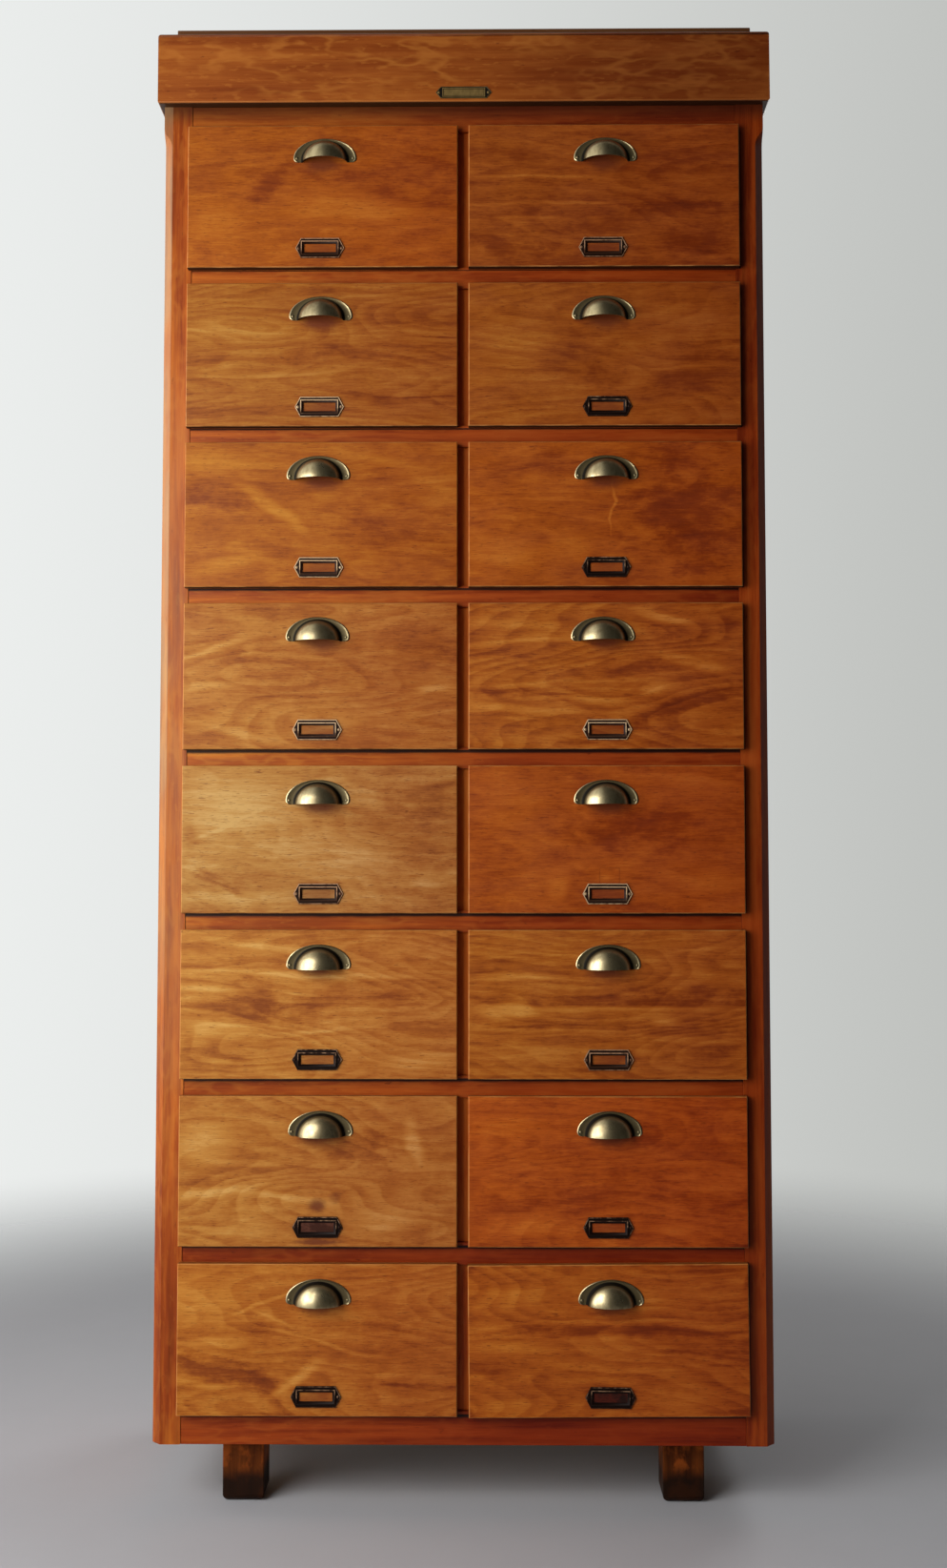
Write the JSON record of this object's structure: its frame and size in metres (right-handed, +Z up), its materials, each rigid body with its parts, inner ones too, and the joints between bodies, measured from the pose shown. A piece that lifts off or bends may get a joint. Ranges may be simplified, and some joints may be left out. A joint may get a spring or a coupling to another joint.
{
  "type": "notary cabinet",
  "caption": "Tall floor-standing wooden filing cabinet: two columns of pull-out drawers with brass cup pulls and label frames, under a boxed crown, on block feet.",
  "frame": {"origin": "on the floor, at the middle of the bounding box of the cabinet with its drawers shut", "axes": "+X to the right seen from the front, +Y to the back, +Z up; the drawers pull out along -Y"},
  "size_m": [0.916, 0.4314, 2.192],
  "materials": {
    "front_wood": "golden brown varnished figured plywood",
    "frame_wood": "red-brown stained and varnished solid wood",
    "panel_wood": "red-brown stained and varnished panel",
    "crown_wood": "orange-brown varnished wood with ray flecks",
    "top_wood": "dark stained wood",
    "foot_wood": "worn brown wood",
    "inner_wood": "bare aged softwood",
    "box_wood": "bare aged drawer wood",
    "back_wood": "bare aged plywood",
    "pull_brass": "antique bronzed brass",
    "card_metal": "worn nickel over dark metal",
    "card_black": "worn black lacquer",
    "card_paper": "old dark card",
    "plate_brass": "aged brass"
  },
  "bodies": {
    "case": {"front_posts": "frame_wood", "side_frames": "frame_wood", "side_panels": "panel_wood", "front_rails": "frame_wood", "muntins": "frame_wood", "centre_partition": "inner_wood", "case_boards": "inner_wood", "runners": "inner_wood", "back_panel": "back_wood", "crown": "crown_wood", "top_board": "top_wood", "feet": "foot_wood"},
    "left_drawer_1": {"left_front_1": "front_wood", "left_box_1": "box_wood", "left_fittings_1": "pull_brass"},
    "left_drawer_2": {"left_front_2": "front_wood", "left_box_2": "box_wood", "left_fittings_2": "pull_brass"},
    "left_drawer_3": {"left_front_3": "front_wood", "left_box_3": "box_wood", "left_fittings_3": "pull_brass"},
    "left_drawer_4": {"left_front_4": "front_wood", "left_box_4": "box_wood", "left_fittings_4": "pull_brass"},
    "left_drawer_5": {"left_front_5": "front_wood", "left_box_5": "box_wood", "left_fittings_5": "pull_brass"},
    "left_drawer_6": {"left_front_6": "front_wood", "left_box_6": "box_wood", "left_fittings_6": "pull_brass"},
    "left_drawer_7": {"left_front_7": "front_wood", "left_box_7": "box_wood", "left_fittings_7": "pull_brass"},
    "left_drawer_8": {"left_front_8": "front_wood", "left_box_8": "box_wood", "left_fittings_8": "pull_brass"},
    "right_drawer_1": {"right_front_1": "front_wood", "right_box_1": "box_wood", "right_fittings_1": "pull_brass"},
    "right_drawer_2": {"right_front_2": "front_wood", "right_box_2": "box_wood", "right_fittings_2": "pull_brass"},
    "right_drawer_3": {"right_front_3": "front_wood", "right_box_3": "box_wood", "right_fittings_3": "pull_brass"},
    "right_drawer_4": {"right_front_4": "front_wood", "right_box_4": "box_wood", "right_fittings_4": "pull_brass"},
    "right_drawer_5": {"right_front_5": "front_wood", "right_box_5": "box_wood", "right_fittings_5": "pull_brass"},
    "right_drawer_6": {"right_front_6": "front_wood", "right_box_6": "box_wood", "right_fittings_6": "pull_brass"},
    "right_drawer_7": {"right_front_7": "front_wood", "right_box_7": "box_wood", "right_fittings_7": "pull_brass"},
    "right_drawer_8": {"right_front_8": "front_wood", "right_box_8": "box_wood", "right_fittings_8": "pull_brass"}
  },
  "joints": [
    {"name": "left_slide_1", "type": "slide", "parent": "case", "child": "left_drawer_1", "axis": [0, -1, 0], "range_m": [0, 0.3]},
    {"name": "left_slide_2", "type": "slide", "parent": "case", "child": "left_drawer_2", "axis": [0, -1, 0], "range_m": [0, 0.3]},
    {"name": "left_slide_3", "type": "slide", "parent": "case", "child": "left_drawer_3", "axis": [0, -1, 0], "range_m": [0, 0.3]},
    {"name": "left_slide_4", "type": "slide", "parent": "case", "child": "left_drawer_4", "axis": [0, -1, 0], "range_m": [0, 0.3]},
    {"name": "left_slide_5", "type": "slide", "parent": "case", "child": "left_drawer_5", "axis": [0, -1, 0], "range_m": [0, 0.3]},
    {"name": "left_slide_6", "type": "slide", "parent": "case", "child": "left_drawer_6", "axis": [0, -1, 0], "range_m": [0, 0.3]},
    {"name": "left_slide_7", "type": "slide", "parent": "case", "child": "left_drawer_7", "axis": [0, -1, 0], "range_m": [0, 0.3]},
    {"name": "left_slide_8", "type": "slide", "parent": "case", "child": "left_drawer_8", "axis": [0, -1, 0], "range_m": [0, 0.3]},
    {"name": "right_slide_1", "type": "slide", "parent": "case", "child": "right_drawer_1", "axis": [0, -1, 0], "range_m": [0, 0.3]},
    {"name": "right_slide_2", "type": "slide", "parent": "case", "child": "right_drawer_2", "axis": [0, -1, 0], "range_m": [0, 0.3]},
    {"name": "right_slide_3", "type": "slide", "parent": "case", "child": "right_drawer_3", "axis": [0, -1, 0], "range_m": [0, 0.3]},
    {"name": "right_slide_4", "type": "slide", "parent": "case", "child": "right_drawer_4", "axis": [0, -1, 0], "range_m": [0, 0.3]},
    {"name": "right_slide_5", "type": "slide", "parent": "case", "child": "right_drawer_5", "axis": [0, -1, 0], "range_m": [0, 0.3]},
    {"name": "right_slide_6", "type": "slide", "parent": "case", "child": "right_drawer_6", "axis": [0, -1, 0], "range_m": [0, 0.3]},
    {"name": "right_slide_7", "type": "slide", "parent": "case", "child": "right_drawer_7", "axis": [0, -1, 0], "range_m": [0, 0.3]},
    {"name": "right_slide_8", "type": "slide", "parent": "case", "child": "right_drawer_8", "axis": [0, -1, 0], "range_m": [0, 0.3]}
  ]
}
